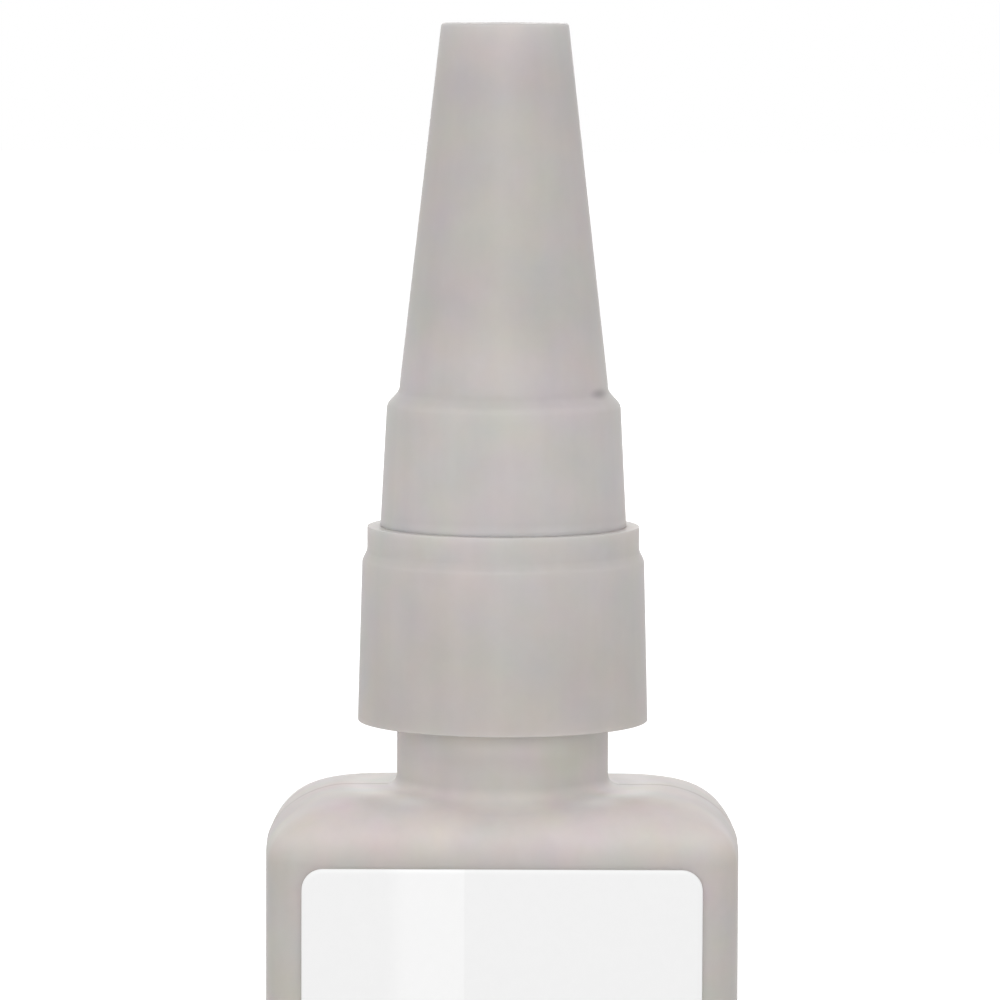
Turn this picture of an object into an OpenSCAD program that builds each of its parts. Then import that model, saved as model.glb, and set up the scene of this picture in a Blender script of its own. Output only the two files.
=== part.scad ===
// Super glue squeeze bottle with a screw-on nozzle and a tall cone cap.
// The bottle stands on z = 0, its axis is the z axis and its front label faces -y.

/* [Bottle body] */
// Width of the body across its label
body_w = 33.2; // [28:0.1:45]
// Depth of the body from front to back
body_d = 22.5; // [19:0.5:30]
// Height from the base to the top of the shoulder
body_h = 52.8; // [36:0.1:90]
// Rounding of the four upright edges
edge_r = 2.2; // [1.6:0.1:4]
// Swell of the two short sides, half-way along them
side_bulge = 0.5; // [0.1:0.1:1.2]
// Reach of the shoulder's curve, inwards from the wall
shoulder_w = 5.6; // [4:0.1:7]
// Height of the shoulder's curve
shoulder_h = 4.2; // [3:0.1:7]
// Rounding between the walls and the base
foot_r = 1.8; // [1:0.1:3]
// Thickness of the blow-moulded wall
wall_t = 0.9; // [0.6:0.05:1.3]
// Depth of the hollow pressed into the base
push_up_h = 0.5; // [0.2:0.05:0.8]
// Width of the flat ring that the bottle stands on
foot_ring_w = 2.2; // [1.5:0.1:3]
// Part of the straight-walled height that the glue fills
fill_share = 0.63; // [0.1:0.01:0.95]

/* [Neck] */
// Diameter of the neck under its thread
neck_d = 14.8; // [12.8:0.1:16]
// Diameter of the bore through the neck
neck_bore_d = 10.6; // [9:0.1:12]
// Length of neck that shows under the collar
neck_show_h = 4.6; // [2:0.1:8]
// Rise of the neck thread in one turn
neck_lead = 3; // [2.4:0.1:4]
// Height of the neck thread above the neck
neck_ridge_h = 1; // [0.6:0.05:1.2]

/* [Nozzle collar] */
// Height of the collar's smooth band, with the bevel above it
collar_h = 12; // [10:0.1:16]
// Wall of the collar at its lower edge
collar_wall_t = 1.45; // [1.1:0.05:2.5]
// Loss of radius from the band's lower edge to its top
collar_draft = 0.3; // [0:0.05:0.4]
// Height of the bevel between the band and the lip
bevel_h = 0.7; // [0.3:0.05:1.2]
// Height of the lip above the bevel
lip_h = 1.7; // [1:0.05:3]
// Step in from the top of the band to the lip
lip_setback = 0.35; // [0.1:0.05:0.6]
// Thickness of the deck that the cap stands on
deck_t = 1.2; // [0.8:0.05:1.8]

/* [Spout] */
// Diameter of the boss that carries the cap's thread
boss_d = 12.2; // [11:0.1:13.4]
// Diameter of the spout's tip
spout_tip_d = 3.2; // [2.4:0.1:4.4]
// Diameter of the hole in the tip
orifice_d = 1.2; // [1.1:0.05:1.8]
// Length of the straight hole in the tip
orifice_len = 5; // [4.2:0.1:9]
// Length of the plug that reaches into the neck
plug_len = 4; // [2:0.1:7]
// Wall of the plug
plug_wall_t = 1; // [0.6:0.05:1.5]

/* [Cap] */
// Height of the cap's skirt, with the bevel at its top
skirt_h = 9.3; // [7.5:0.1:14]
// Height of the bevel between the skirt and the cone
skirt_bevel_h = 0.9; // [0.6:0.05:1.6]
// Wall of the skirt at its rim
skirt_wall_t = 1.45; // [1.1:0.05:2.2]
// Loss of radius from the skirt's rim to its top
skirt_draft = 0.45; // [0:0.05:0.6]
// Step in from the skirt to the cone
skirt_step = 0.85; // [0.4:0.05:1.4]
// Height of the cone above the skirt
cone_h = 25.9; // [18:0.1:45]
// Diameter of the cone's flat top
cap_tip_d = 8.9; // [7.6:0.1:12]
// Wall of the cone
cap_wall_t = 1.2; // [0.8:0.05:1.6]
// Thickness of the cap's flat top
cap_top_t = 1.3; // [0.8:0.05:2.5]
// Rise of the cap's two-start thread in one turn
cap_lead = 6; // [4:0.2:8]
// Height of the cap's thread
cap_ridge_h = 0.75; // [0.5:0.05:0.9]

/* [Seals] */
// Thickness of the gasket on the bottle's mouth
gasket_t = 0.8; // [0.4:0.05:1.5]
// Diameter of the pin that keeps the hole open
pin_d = 0.9; // [0.6:0.05:0.98]
// Length of pin held in the cap's socket
pin_grip = 2.8; // [1.5:0.1:3]
// Length of pin that stands out of the socket
pin_reach = 3.6; // [1.5:0.1:4]
// Diameter of the socket inside the cap's top
socket_d = 3.4; // [2.4:0.1:4.2]
// Length of the socket inside the cap's top
socket_len = 3.2; // [3.1:0.1:6]

/* [Labels] */
// Thickness of the label film
label_t = 0.12; // [0.08:0.01:0.3]
// Rounding of the label's corners
label_r = 1.45; // [0.5:0.05:4]
// Flat wall left above the label, below the shoulder's curve
label_top_gap = 0.2; // [0.2:0.1:8]
// Flat wall left below the label, above the foot's curve
label_foot_gap = 5; // [0.5:0.5:15]

/* [Hidden] */

// Colours
milky = [0.75, 0.74, 0.71];
nozzle_milky = [0.73, 0.72, 0.70];
cap_milky = [0.72, 0.71, 0.69];
label_white = [0.95, 0.95, 0.95];
glue_clear = [0.90, 0.91, 0.88];
foam_white = [0.93, 0.93, 0.90];
steel = [0.62, 0.63, 0.65];

// Clearances
thread_gap = 0.35; // from a thread's crest to the wall that it faces
thread_play = 0.2; // between the two flanks that bear on each other
plug_gap = 0.1; // between the plug and the neck's bore
gasket_gap = 0.15; // from the gasket to the plug and to the neck's edge
tip_gap = 0.3; // between the spout's tip and the cap's socket
pin_gap = 0.03; // between the pin and its socket
boss_gap = 0.9; // from the boss up to the roof of the skirt
fill_gap = 0.1; // between the glue and the bottle's wall
label_side_gap = 0.1; // from the label to the upright edge's curve
overrun = 1; // how far a cut reaches past the face it opens

// Small roundings and bevels
floor_r = 1.4; // inside the bottle, between wall and floor
mouth_soft = 0.4; // outer edge of the bottle's mouth
lead_in = 0.4; // bevels that guide one piece into the next
edge_soft = 0.3; // moulded edges of the nozzle and the cap
root_soft = 0.35; // inner corners of the nozzle and the cap
cap_top_soft = 0.45; // edge around the cap's flat top
pin_point_h = 0.5; // length of the pin's bevelled point
thread_bite = 0.3; // how deep a thread's root is sunk into its wall

// Shares
root_share = 0.5; // axial width of a ridge's root, of its pitch
crest_share = 0.24; // axial width of a ridge's crest, of its pitch
foot_pinch_share = 0.6; // loss of corner rounding down the foot
top_round_share = 0.5; // how near the shoulder's top comes to half-round ends
shoulder_power = 1.1; // 1 makes the shoulder's curve an ellipse, more makes it nearer to a slope
ridge_fade_share = 0.12; // part of a turn over which a ridge runs out
point_share = 0.4; // radius left at the pin's point
spout_step_share = 0.15; // loss of radius from the boss to the spout's foot

// Counts
arc_steps = 8; // facets on a quarter of an upright edge
side_steps = 6; // facets along a short side
foot_steps = 5;
shoulder_steps = 10;
soft_steps = 4; // facets on a small rounding
turn_steps = 24; // facets on one turn of thread
cap_starts = 2;
$fn = 96;

// Radii, from the neck outwards
neck_r = neck_d / 2;
neck_bore_r = neck_bore_d / 2;
collar_bore_r = neck_r + neck_ridge_h + thread_gap;
collar_r = collar_bore_r + collar_wall_t;
band_r = collar_r - collar_draft;
lip_r = band_r - lip_setback;
plug_r = neck_bore_r - plug_gap;
plug_in_r = plug_r - plug_wall_t;
boss_r = boss_d / 2;
spout_foot_r = boss_r * (1 - spout_step_share);
spout_tip_r = spout_tip_d / 2;
orifice_r = orifice_d / 2;
skirt_bore_r = boss_r + cap_ridge_h + thread_gap;
skirt_r = skirt_bore_r + skirt_wall_t;
skirt_top_r = skirt_r - skirt_draft;
cone_r = skirt_top_r - skirt_step;
cap_tip_r = cap_tip_d / 2;
pin_r = pin_d / 2;
socket_r = socket_d / 2;

// Levels, from the base upwards
floor_z = push_up_h + wall_t;
shoulder_z = body_h - shoulder_h;
fill_z = floor_z + fill_share * (shoulder_z - floor_z);
collar_z = body_h + neck_show_h;
band_z = collar_z + collar_h - bevel_h;
lip_z = collar_z + collar_h;
deck_z = lip_z + lip_h;
ceiling_z = deck_z - deck_t;
mouth_z = ceiling_z - gasket_t;
plug_z = ceiling_z - plug_len;
skirt_z = deck_z + skirt_h;
roof_z = skirt_z - cap_wall_t;
boss_z = roof_z - boss_gap;
cap_z = skirt_z + cone_h;
cap_ceiling_z = cap_z - cap_top_t;
socket_z = cap_ceiling_z - socket_len;
tip_z = socket_z - tip_gap;

// Threads: the sunk ridge of each pair bears on the underside of the raised one
neck_root_w = neck_lead * root_share;
neck_crest_w = neck_lead * crest_share;
neck_thread_z = collar_z + neck_lead;
neck_turns = (mouth_z - neck_thread_z - neck_root_w) / neck_lead;
neck_drop = flank_drop(neck_root_w, neck_crest_w, neck_ridge_h);
cap_pitch = cap_lead / cap_starts;
cap_root_w = cap_pitch * root_share;
cap_crest_w = cap_pitch * crest_share;
cap_drop = flank_drop(cap_root_w, cap_crest_w, cap_ridge_h);
cap_thread_z = deck_z + lead_in + sunk_width(cap_root_w, cap_crest_w, cap_ridge_h) / 2 + cap_drop;
cap_turns = (boss_z - cap_thread_z - cap_root_w / 2 - thread_gap) / cap_lead;

// Labels
label_half_w = body_w / 2 - side_bulge - edge_r - label_side_gap;
label_low_z = foot_r + label_foot_gap;
label_high_z = shoulder_z - label_top_gap;

// How far below a raised ridge's middle the sunk ridge's middle lies
function flank_drop(root_w, crest_w, ridge_h) =
    root_w - (root_w - crest_w) / 2 * (ridge_h + thread_gap) / ridge_h + thread_play;

// Axial width of a ridge at the depth to which its root is sunk
function sunk_width(root_w, crest_w, ridge_h) =
    root_w + (root_w - crest_w) * thread_bite / ridge_h;

// Outline helpers

function unit(v) = v / norm(v);

// Shortest way round from one direction to another
function turn_between(from, to) =
    let (turn = to - from)
    turn > 180 ? turn - 360 : turn < -180 ? turn + 360 : turn;

// The corner at b, between a and c, with its rounding
function corner_arc(a, b, c, rounding) =
    rounding == 0 ? [b] :
    let (
        back = unit(a - b),
        ahead = unit(c - b),
        half = acos(back * ahead) / 2,
        centre = b + unit(back + ahead) * rounding / sin(half),
        start = b + back * rounding / tan(half) - centre,
        finish = b + ahead * rounding / tan(half) - centre,
        first = atan2(start.y, start.x),
        sweep = turn_between(first, atan2(finish.y, finish.x))
    )
    [for (s = [0:soft_steps])
        let (a = first + sweep * s / soft_steps)
        centre + rounding * [cos(a), sin(a)]];

// A closed outline from corners given as [radius, level, rounding]
function soft_outline(corners) =
    let (
        count = len(corners),
        places = [for (c = corners) [c[0], c[1]]]
    )
    [for (i = [0:count - 1])
        let (
            before = places[(i + count - 1) % count],
            after = places[(i + 1) % count]
        )
        each corner_arc(before, places[i], after, corners[i][2])];

// The +x half of a rectangle with round corners
function half_outline(half_w, half_d, r, steps) =
    let (flat = half_d - r)
    concat(
        [for (s = [0:arc_steps])
            let (a = 90 * s / arc_steps)
            [half_w - r + r * sin(a), -flat - r * cos(a)]],
        [for (s = [1:1:steps - 1]) [half_w, flat * (2 * s / steps - 1)]],
        [for (s = [0:arc_steps])
            let (a = 90 * s / arc_steps)
            [half_w - r + r * cos(a), flat + r * sin(a)]]
    );

// One ring of points: a rectangle with round corners, whose short sides can swell
function ring(half_w, half_d, r, z, bulge = 0) =
    let (steps = bulge > 0 ? side_steps : 1)
    [for (side = [1, -1], p = half_outline(half_w - bulge, half_d, r, steps))
        side * [p.x + bulge * (1 - pow(p.y / half_d, 2)), p.y, side * z]];

// A ring of the bottle's wall, pulled in from its outer face
function wall_ring(inset, pull, r, z) =
    ring(body_w / 2 - inset - pull, body_d / 2 - inset - pull, r, z, side_bulge);

// Rings up the rounding of the foot
function foot_rings(inset, low_z, r) =
    [for (s = [0:foot_steps])
        let (
            a = 90 * s / foot_steps,
            pull = r * (1 - sin(a)),
            side_r = (edge_r - inset) * (1 - foot_pinch_share * pull / r)
        )
        wall_ring(inset, pull, side_r, low_z + r * (1 - cos(a)))];

// Rings up the curve of the shoulder, whose corners open out on the way
function shoulder_rings(inset, high_z) =
    let (
        reach = shoulder_w - inset,
        rise = shoulder_h - inset,
        side_r = edge_r - inset,
        top_r = top_round_share * (body_d / 2 - shoulder_w)
    )
    [for (s = [0:shoulder_steps])
        let (
            a = 90 * s / shoulder_steps,
            done = 1 - pow(cos(a), shoulder_power),
            up = pow(sin(a), shoulder_power)
        )
        wall_ring(inset, reach * done, side_r + (top_r - side_r) * done, high_z - rise * (1 - up))];

// Shape helpers

// A closed solid through rings of equal count, from the lowest up
module loft(rings) {
    count = len(rings[0]);
    last = (len(rings) - 1) * count;
    sides = [for (j = [0:len(rings) - 2], i = [0:count - 1])
        let (
            a = j * count + i,
            b = j * count + (i + 1) % count
        )
        each [[a, a + count, b + count], [a, b + count, b]]];
    base = [for (i = [0:count - 1]) i];
    top = [for (i = [count - 1:-1:0]) last + i];
    polyhedron([for (r = rings) each r], concat(sides, [base, top]));
}

// One helical ridge on a round wall; facing is 1 outwards and -1 inwards
module thread_ridge(wall_r, ridge_h, lead, turns, root_w, crest_w, facing) {
    steps = ceil(turns * turn_steps);
    fade_steps = ridge_fade_share * turn_steps;
    sunk_w = sunk_width(root_w, crest_w, ridge_h);
    root_r = wall_r - facing * thread_bite;
    points = [for (i = [0:steps])
        let (
            a = 360 * turns * i / steps,
            z = lead * turns * i / steps,
            fade = min(1, i / fade_steps, (steps - i) / fade_steps),
            buried = thread_bite / 2,
            crest_r = wall_r + facing * ((ridge_h + buried) * fade - buried)
        )
        each [
            [root_r * cos(a), root_r * sin(a), z - facing * sunk_w / 2],
            [crest_r * cos(a), crest_r * sin(a), z - facing * crest_w / 2],
            [crest_r * cos(a), crest_r * sin(a), z + facing * crest_w / 2],
            [root_r * cos(a), root_r * sin(a), z + facing * sunk_w / 2]
        ]];
    sides = [for (i = [0:steps - 1], k = [0:3])
        let (
            a = 4 * i + k,
            b = 4 * i + (k + 1) % 4
        )
        each [[a, b, b + 4], [a, b + 4, a + 4]]];
    last = 4 * steps;
    ends = [[3, 2, 1, 0], [last, last + 1, last + 2, last + 3]];
    polyhedron(points, concat(sides, ends));
}

// The neck's thread, or its partner in the collar
module neck_thread(wall_r, facing) {
    thread_ridge(wall_r, neck_ridge_h, neck_lead, neck_turns, neck_root_w, neck_crest_w, facing);
}

// The boss's thread, or its partner in the cap, with all its starts
module cap_thread(wall_r, facing) {
    for (start = [0:cap_starts - 1])
        rotate([0, 0, 360 * start / cap_starts])
            thread_ridge(wall_r, cap_ridge_h, cap_lead, cap_turns, cap_root_w, cap_crest_w, facing);
}

// Sub-parts

module neck_solid() {
    rotate_extrude()
        polygon(soft_outline([
            [0, shoulder_z, 0],
            [neck_r, shoulder_z, 0],
            [neck_r, mouth_z, mouth_soft],
            [0, mouth_z, 0]
        ]));
    translate([0, 0, neck_thread_z])
        neck_thread(neck_r, 1);
}

module push_up_cut() {
    inset = foot_r + foot_ring_w;
    translate([0, 0, -overrun])
        linear_extrude(push_up_h + overrun)
            polygon([for (p = wall_ring(inset, 0, edge_r, 0)) [p.x, p.y]]);
}

module bottle() {
    color(milky)
        difference() {
            union() {
                loft(concat(foot_rings(0, 0, foot_r), shoulder_rings(0, body_h)));
                neck_solid();
            }
            loft(concat(foot_rings(wall_t, floor_z, floor_r), shoulder_rings(wall_t, body_h - wall_t)));
            translate([0, 0, shoulder_z])
                cylinder(r = neck_bore_r, h = mouth_z + overrun - shoulder_z);
            push_up_cut();
        }
}

module label_sheet() {
    label_half_h = (label_high_z - label_low_z) / 2;
    translate([0, -body_d / 2, (label_low_z + label_high_z) / 2])
        rotate([90, 0, 0])
            linear_extrude(label_t)
                polygon([for (p = ring(label_half_w, label_half_h, label_r, 0)) [p.x, p.y]]);
}

module front_label() {
    color(label_white)
        label_sheet();
}

module back_label() {
    color(label_white)
        rotate([0, 0, 180])
            label_sheet();
}

module adhesive_fill() {
    inset = wall_t + fill_gap;
    color(glue_clear)
        loft(concat(
            foot_rings(inset, floor_z + fill_gap, floor_r),
            [wall_ring(inset, 0, edge_r - inset, fill_z)]
        ));
}

module neck_gasket() {
    color(foam_white)
        translate([0, 0, mouth_z])
            difference() {
                cylinder(r = neck_r - gasket_gap, h = gasket_t);
                translate([0, 0, -overrun])
                    cylinder(r = plug_r + gasket_gap, h = gasket_t + 2 * overrun);
            }
}

module nozzle() {
    color(nozzle_milky)
        union() {
            rotate_extrude()
                polygon(soft_outline([
                    [collar_bore_r + lead_in, collar_z, 0],
                    [collar_r, collar_z, edge_soft],
                    [band_r, band_z, edge_soft],
                    [lip_r, lip_z, edge_soft],
                    [lip_r, deck_z, edge_soft],
                    [boss_r, deck_z, root_soft],
                    [boss_r, boss_z, edge_soft],
                    [spout_foot_r, boss_z, root_soft],
                    [spout_tip_r, tip_z, edge_soft],
                    [orifice_r, tip_z, 0],
                    [orifice_r, tip_z - orifice_len, 0],
                    [plug_in_r, deck_z, 0],
                    [plug_in_r, plug_z, 0],
                    [plug_r - lead_in, plug_z, 0],
                    [plug_r, plug_z + lead_in, 0],
                    [plug_r, ceiling_z, 0],
                    [collar_bore_r, ceiling_z, 0],
                    [collar_bore_r, collar_z + lead_in, 0]
                ]));
            translate([0, 0, neck_thread_z - neck_drop])
                neck_thread(collar_bore_r, -1);
            translate([0, 0, cap_thread_z])
                cap_thread(boss_r, 1);
        }
}

module sealing_pin() {
    low_z = socket_z - pin_reach;
    color(steel)
        rotate_extrude()
            polygon([
                [0, low_z],
                [pin_r * point_share, low_z],
                [pin_r, low_z + pin_point_h],
                [pin_r, socket_z + pin_grip],
                [0, socket_z + pin_grip]
            ]);
}

module cap() {
    color(cap_milky)
        union() {
            rotate_extrude()
                polygon(soft_outline([
                    [skirt_bore_r + lead_in, deck_z, 0],
                    [skirt_r, deck_z, edge_soft],
                    [skirt_top_r, skirt_z - skirt_bevel_h, edge_soft],
                    [cone_r, skirt_z, root_soft],
                    [cap_tip_r, cap_z, cap_top_soft],
                    [0, cap_z, 0],
                    [0, socket_z + pin_grip, 0],
                    [pin_r + pin_gap, socket_z + pin_grip, 0],
                    [pin_r + pin_gap, socket_z, 0],
                    [socket_r, socket_z, edge_soft],
                    [socket_r, cap_ceiling_z, root_soft],
                    [cap_tip_r - cap_wall_t, cap_ceiling_z, root_soft],
                    [cone_r - cap_wall_t, skirt_z, 0],
                    [skirt_bore_r, roof_z, 0],
                    [skirt_bore_r, deck_z + lead_in, 0]
                ]));
            translate([0, 0, cap_thread_z - cap_drop])
                cap_thread(skirt_bore_r, -1);
        }
}

bottle();
front_label();
back_label();
adhesive_fill();
neck_gasket();
nozzle();
sealing_pin();
cap();
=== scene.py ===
# %% [markdown]
# # A squeeze bottle for super glue
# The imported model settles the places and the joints. This script dresses it: each piece is rebuilt in
# the same frame as a finer surface, with its roundings, threads and seams, and then gets the finish of
# milky plastic, label film, foam, steel or liquid glue. Sizes that a piece's box gives are read from the
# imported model, and the others are the CAD model's values written again, apart from a few finer
# roundings. The script works in millimetres, and the value MM turns them into Blender's metres.

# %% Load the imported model
import math

import bpy
import numpy as np
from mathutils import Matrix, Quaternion, Vector


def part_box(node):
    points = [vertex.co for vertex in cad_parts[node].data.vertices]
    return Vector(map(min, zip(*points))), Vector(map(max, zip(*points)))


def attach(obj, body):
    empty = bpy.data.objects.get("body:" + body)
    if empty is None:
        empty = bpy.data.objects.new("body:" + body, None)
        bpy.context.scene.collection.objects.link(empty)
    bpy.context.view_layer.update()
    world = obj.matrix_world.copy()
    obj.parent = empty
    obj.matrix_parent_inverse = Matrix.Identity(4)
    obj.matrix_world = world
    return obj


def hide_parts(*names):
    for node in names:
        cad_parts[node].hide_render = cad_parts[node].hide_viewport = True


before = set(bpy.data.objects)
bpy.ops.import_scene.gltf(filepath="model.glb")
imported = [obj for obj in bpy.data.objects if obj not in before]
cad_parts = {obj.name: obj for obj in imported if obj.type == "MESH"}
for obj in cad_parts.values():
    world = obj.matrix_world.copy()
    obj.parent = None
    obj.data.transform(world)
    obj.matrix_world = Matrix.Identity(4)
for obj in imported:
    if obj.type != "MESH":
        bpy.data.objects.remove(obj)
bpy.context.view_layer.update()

MM = 0.001

# %% [markdown]
# ## Tools for all pieces
# Every piece here is a skin over a grid of points: its rows are closed loops, and each row is joined to
# the next by quads. A bottle starts at one point under its base and ends at one point on its inner
# floor, and a gasket runs round to where it began. Working with whole numpy arrays keeps each shape a
# short formula, and the sign of the enclosed volume tells which way the faces have to wind.


# %% A mesh from a grid of points
SHARP_DEG = 38  # faces that meet at a larger angle get a crisp edge


def join_rows(upper, lower):
    """Quads between two stacks of loops, each point with the next one round its loop."""
    quads = [upper, np.roll(upper, -1, 1), np.roll(lower, -1, 1), lower]
    return np.stack(quads, -1).reshape(-1, 4)


def enclosed_volume(points, triangles):
    """Sum of the signed volumes of the tetrahedra from the origin to each triangle."""
    a, b, c = (points[triangles[:, k]] for k in range(3))
    return (a * np.cross(b, c)).sum() / 6


def make_piece(name, rows, ring=False):
    """Closed skin over rows of loops. A ring joins its last row to its first;
    otherwise the first and last row are single points, closed by fans of triangles."""
    around = rows.shape[1]
    if ring:
        points = rows.reshape(-1, 3)
        index = np.arange(len(points)).reshape(-1, around)
        quads = join_rows(index, np.roll(index, -1, 0))
        fans = np.empty((0, 3), int)
    else:
        points = np.vstack([rows[0, :1], rows[1:-1].reshape(-1, 3), rows[-1, :1]])
        index = np.arange(1, len(points) - 1).reshape(-1, around)
        quads = join_rows(index[:-1], index[1:])
        start = np.stack([np.zeros(around, int), np.roll(index[0], -1), index[0]], -1)
        end = np.stack([np.full(around, len(points) - 1), index[-1], np.roll(index[-1], -1)], -1)
        fans = np.vstack([start, end])
    triangles = np.vstack([quads[:, :3], quads[:, [0, 2, 3]], fans])
    if enclosed_volume(points, triangles) < 0:
        quads, fans = quads[:, ::-1], fans[:, ::-1]
    mesh = bpy.data.meshes.new(name)
    mesh.from_pydata((points * MM).tolist(), [], quads.tolist() + fans.tolist())
    mesh.polygons.foreach_set("use_smooth", np.ones(len(mesh.polygons), bool))
    mesh.set_sharp_from_angle(angle=math.radians(SHARP_DEG))
    piece = bpy.data.objects.new(name, mesh)
    bpy.context.scene.collection.objects.link(piece)
    print(name, "has", len(triangles), "triangles")
    return piece


def stand_for(piece, node, body):
    """The piece hides a CAD node, takes its place and rides on its body."""
    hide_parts(node)
    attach(piece, body)


def node_box(node):
    """Lowest and highest corner of a CAD node, in millimetres."""
    return [np.round(np.array(corner) / MM, 3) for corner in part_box(node)]


# %% Soft outlines
SAME = 1e-6  # millimetres; places closer than this count as one
THREAD_STEP = 0.14  # millimetres between the rows of a threaded wall


def eased(share):
    """Eased step: 0 up to 0, 1 from 1 on, and three squares less two cubes between."""
    share = np.clip(share, 0, 1)
    return share * share * (3 - 2 * share)


def unit(vectors):
    """Each vector over its own length."""
    return vectors / np.linalg.norm(vectors, axis=-1, keepdims=True)


def soft_outline(corners, steps=6):
    """Outline through corners given as radius, level and rounding. Each corner becomes an arc that
    touches both its edges: its centre lies on the corner's halving line, rounding / sin(half) away."""
    corners = np.array(corners, float)
    here, rounding = corners[:, :2], corners[:, 2:]
    back = unit(np.roll(here, 1, 0) - here)
    ahead = unit(np.roll(here, -1, 0) - here)
    half = np.arccos(np.clip((back * ahead).sum(1, keepdims=True), -1, 1)) / 2
    centre = here + unit(back + ahead) * rounding / np.sin(half)
    start = here + back * rounding / np.tan(half) - centre
    finish = here + ahead * rounding / np.tan(half) - centre
    first = np.arctan2(start[:, 1:], start[:, :1])
    sweep = np.arctan2(finish[:, 1:], finish[:, :1]) - first
    sweep = (sweep + math.pi) % (2 * math.pi) - math.pi
    turn = first + sweep * np.linspace(0, 1, steps + 1)
    arcs = centre[:, None] + rounding[:, None] * np.stack([np.cos(turn), np.sin(turn)], -1)
    points = arcs.reshape(-1, 2)
    step = np.linalg.norm(points - np.roll(points, 1, 0), axis=1)
    return points[step > SAME]


def fine_steps(outline, longest, threaded=()):
    """The outline with points added along its straight stretches, none further apart than longest,
    and closer together on the upright walls, given by radius, that carry a thread."""
    along = outline[1:] - outline[:-1]
    length = np.linalg.norm(along, axis=1)
    middle = (outline[1:, 0] + outline[:-1, 0]) / 2
    upright = np.abs(along[:, 0]) < SAME
    close = upright & np.isclose(middle[:, None], np.array(threaded)[None], atol=SAME).any(1)
    parts = np.ceil(length / np.where(close, THREAD_STEP, longest)).astype(int)
    which = np.arange(parts.sum()) - np.repeat(np.cumsum(parts) - parts, parts)
    step = np.repeat(along / parts[:, None], parts, 0)
    points = np.repeat(outline[:-1], parts, 0) + step * which[:, None]
    return np.vstack([points, outline[-1:]])


# %% [markdown]
# ## Turned pieces and their threads
# The nozzle and the cap are round, so each is a profile carried round the axis. Their threads could be
# separate ridges sunk into the wall, but a moulded thread is one skin with it. Here the wall itself is
# pushed out, or in, by the height of a ridge that climbs as it turns.


# %% Turning a profile, and the height of a thread
AROUND = 144
TURN = 2 * math.pi
FADE_SHARE = 0.12  # share of a turn over which a ridge fades in or out
round_angles = np.linspace(0, TURN, AROUND, endpoint=False)


def ridge_height(angle, level, start_z, lead, turns, root_w, crest_w, starts=1):
    """Height, from 0 to 1, of ridges that climb by lead in a turn. It eases from the root's half width
    to the crest's with the distance from the ridge's middle, and fades in and out over part of a turn."""
    fade = FADE_SHARE * TURN
    winds = TURN * np.arange(math.ceil(turns) + 1)
    first = TURN * np.arange(starts) / starts
    wound = ((angle[..., None] - first) % TURN)[..., None] + winds
    off = np.abs(level[..., None, None] - start_z - lead * wound / TURN)
    flank = eased((root_w - 2 * off) / (root_w - crest_w))
    ends = eased(wound / fade) * eased((TURN * turns - wound) / fade)
    return (flank * ends).max((-1, -2))


def turned(outline, thread=None):
    """Profile of radius and level carried round the axis. A thread adds to the radius of the points
    that lie on its wall."""
    radius, level, angle = np.broadcast_arrays(outline[:, :1], outline[:, 1:], round_angles)
    for wall in thread or ():
        on_wall = np.isclose(radius, wall["wall_r"], atol=SAME)
        raised = wall["depth"] * ridge_height(angle, level, **wall["ridge"])
        radius = radius + np.where(on_wall, raised, 0)
    return np.stack([radius * np.cos(angle), radius * np.sin(angle), level], -1)


# %% [markdown]
# ## The bottle
# The real bottle is blown from a hot tube of milky plastic, so it is one skin with roundings everywhere,
# a fine line at each side where the mould halves meet, and a base pressed up a little so that it stands
# on a ring. In plan it is a rectangle with round corners that turns into a circle at the neck. That is
# hard for a lathe or a bevelled box, but simple on a grid: one set of columns runs from the point under
# the base, up the wall, over the shoulder, up the neck and back down the inside.

# %% Sizes of the bottle
half_w, half_d, mouth_z = node_box("bottle")[1]
body_h = 52.8
edge_r = 2.2
side_bulge = 0.5
shoulder_w = 5.6
shoulder_h = 4.2
shoulder_power = 1.1
foot_r = 1.8
foot_pinch = 0.6
wall_t = 0.9
push_up_h = 0.5
foot_ring_w = 2.2
neck_r = 7.4
neck_bore_r = 5.3
mouth_soft = 0.4
floor_z = push_up_h + wall_t
floor_r = 1.4
shoulder_z = body_h - shoulder_h
top_r = 0.5 * (half_d - shoulder_w)
seam_h = 0.03
seam_half_w = 0.06
seam_foot_w = 0.16
skin_w = half_w - seam_h
print("bottle:", 2 * half_w, "x", 2 * half_d, "mm, mouth at", mouth_z, "mm")


# %% The columns of the bottle, in plan
def side_places(half_len, half_across, count):
    """Places along a straight side, from 1 to -1, at even angles as seen from the bottle's axis."""
    reach = math.atan2(half_len, half_across)
    return np.tan(np.linspace(reach, -reach, count + 2)[1:-1]) * half_across / half_len


corner_columns = 15
long_columns = 44
short_columns = 22
corner_turn = np.linspace(0, 90, corner_columns)
long_side = side_places(half_w - edge_r, half_d, long_columns)
short_side = side_places(half_d - edge_r, half_w, short_columns)
seam_places = np.array([seam_foot_w, seam_half_w, -seam_half_w, -seam_foot_w]) / (half_d - edge_r)
clear_of_seam = np.abs(short_side) > 2 * seam_places[0]
short_side = np.sort(np.concatenate([short_side[clear_of_seam], seam_places]))[::-1]
at_corner = np.ones(len(corner_turn))
on_long = np.ones(len(long_side))
on_short = np.ones(len(short_side))
plan_turn = np.radians(np.concatenate([
    corner_turn, 90 * on_long, corner_turn + 90, 180 * on_short,
    corner_turn + 180, 270 * on_long, corner_turn + 270, 360 * on_short,
]))
side_x = np.concatenate([
    at_corner, long_side, -at_corner, -on_short,
    -at_corner, -long_side, at_corner, on_short,
])
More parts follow.
